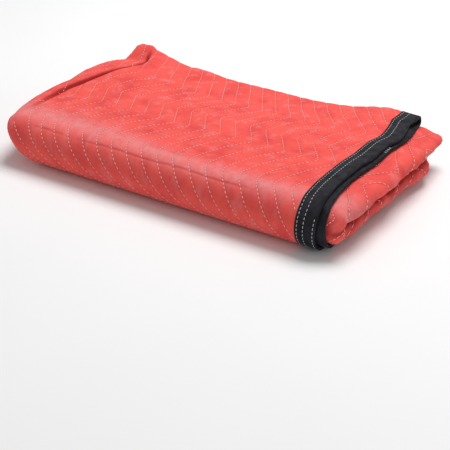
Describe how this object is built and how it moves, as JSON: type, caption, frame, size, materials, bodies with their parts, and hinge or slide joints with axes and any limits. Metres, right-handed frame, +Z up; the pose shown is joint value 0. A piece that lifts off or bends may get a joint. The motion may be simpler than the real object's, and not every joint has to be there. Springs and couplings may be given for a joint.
{
  "type": "moving pad",
  "caption": "Quilted moving pad with bound edges, folded into a flat rectangular bundle with its bound end showing at one side.",
  "frame": {"origin": "centre of the underside of the folded pad's box", "axes": "+X along the folded pad, towards the open end with the bound edge; +Y towards the back fold; +Z up through its layers"},
  "size_m": [0.7394, 0.435, 0.1132],
  "materials": {
    "quilt": "matte non-woven cloth, zigzag quilted with pale thread",
    "binding": "matte woven tape with two rows of pale stitching"
  },
  "bodies": {
    "root": {"quilted_sheet": "quilt", "binding_outer_end": "binding", "binding_inner_end": "binding", "binding_side_outer": "binding", "binding_side_inner": "binding"}
  },
  "joints": []
}
